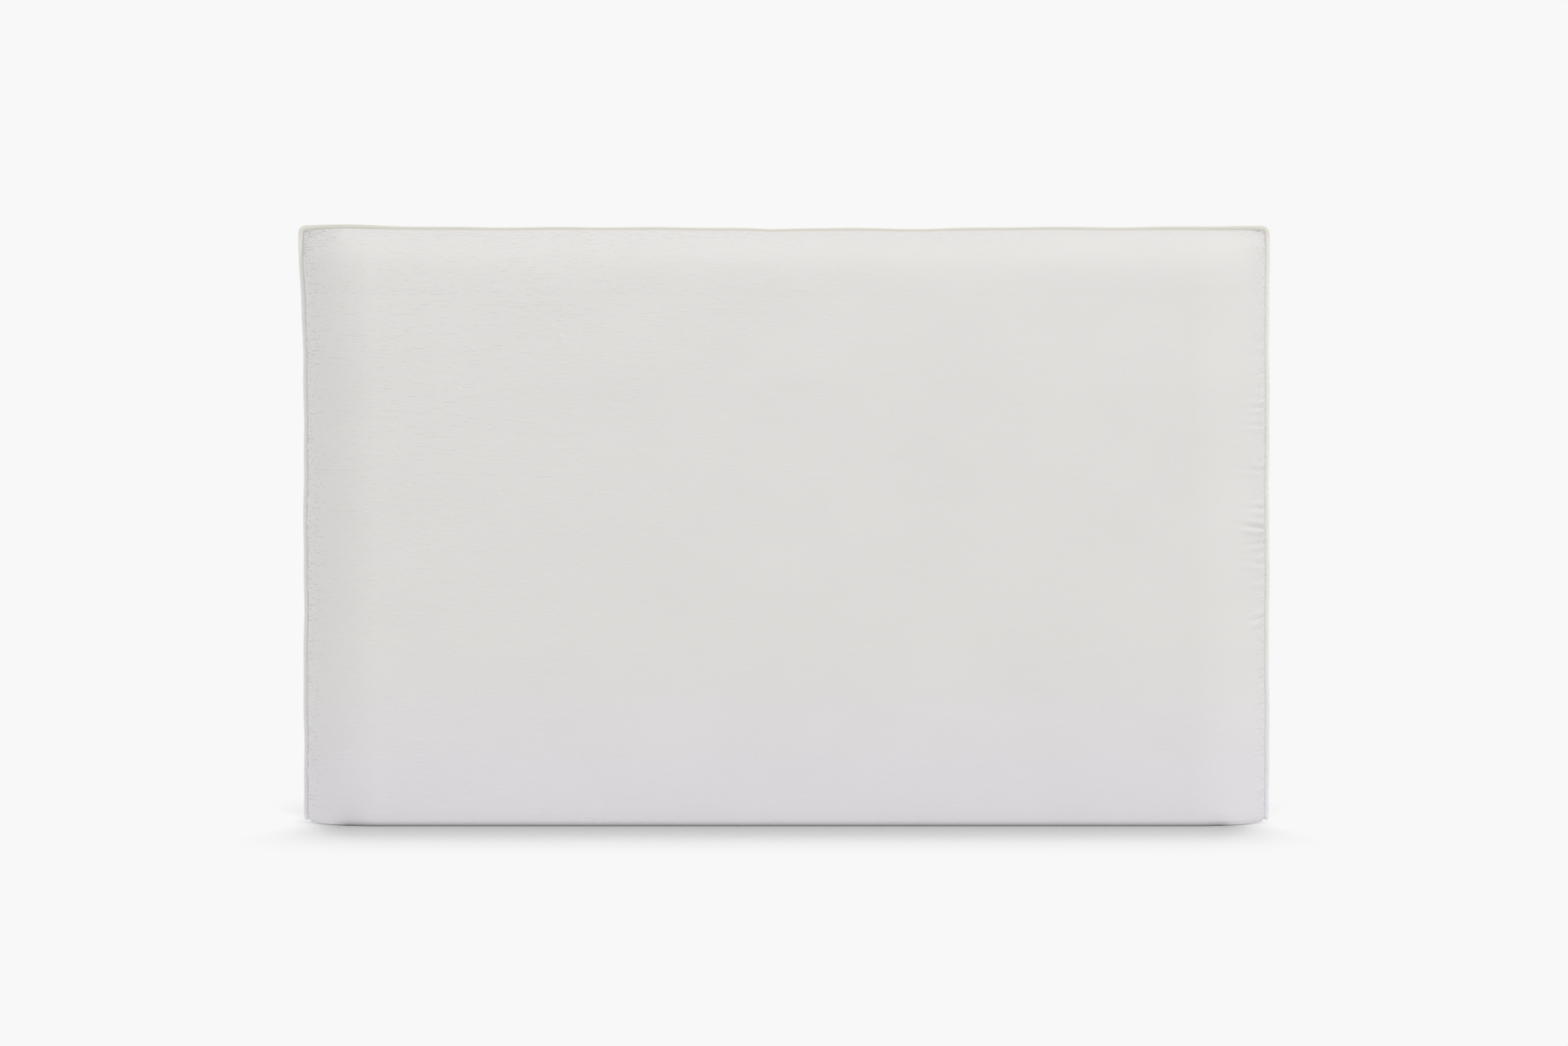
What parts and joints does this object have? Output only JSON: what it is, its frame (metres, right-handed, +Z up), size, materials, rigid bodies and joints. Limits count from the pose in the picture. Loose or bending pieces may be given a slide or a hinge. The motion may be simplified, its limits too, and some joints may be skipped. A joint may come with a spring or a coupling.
{
  "type": "bed pillow",
  "caption": "Foam bed pillow in a sewn white cloth case, piped along the sides and top, with a hidden zip along the long bottom edge.",
  "frame": {"origin": "on the surface the pillow stands on, under the middle of its long bottom edge", "axes": "+X along the length to the viewer's right, +Y from the front face to the back face, +Z up"},
  "size_m": [0.66, 0.127, 0.406],
  "materials": {
    "case_cloth": "natural white slubbed cloth",
    "piping_cloth": "cream woven piping",
    "cotton_cord": "twisted cotton cord",
    "liner_knit": "fine white knit",
    "foam": "open-cell foam with vent holes",
    "thread": "polyester sewing thread",
    "zip_tape": "woven tape",
    "zip_nylon": "moulded nylon",
    "zip_enamel": "white enamelled zinc"
  },
  "bodies": {
    "pillow": {"foam_core": "foam", "liner_front": "liner_knit", "liner_back": "liner_knit", "liner_thread": "thread", "case_front": "case_cloth", "case_back": "case_cloth", "case_seam_thread": "thread", "piping_cover": "piping_cloth", "piping_cord": "cotton_cord", "zip_tape_front": "zip_tape", "zip_tape_back": "zip_tape", "zip_coil_front": "zip_nylon", "zip_coil_back": "zip_nylon", "zip_top_stop_front": "zip_nylon", "zip_top_stop_back": "zip_nylon", "zip_bottom_stop": "zip_nylon", "zip_stitching_front": "thread", "zip_stitching_back": "thread", "zip_bar_tack_left": "thread", "zip_bar_tack_right": "thread"},
    "slider": {"zip_slider": "zip_enamel"},
    "pull_tab": {"zip_pull": "zip_enamel"}
  },
  "joints": [
    {"name": "zip_slide", "type": "slide", "parent": "pillow", "child": "slider", "axis": [-1, 0, 0], "range_m": [0, 0.56]},
    {"name": "pull_swing", "type": "hinge", "parent": "slider", "child": "pull_tab", "pos_m": [0.283, 0, 0.0049], "axis": [0, -1, 0], "range_deg": [0, 150]}
  ]
}
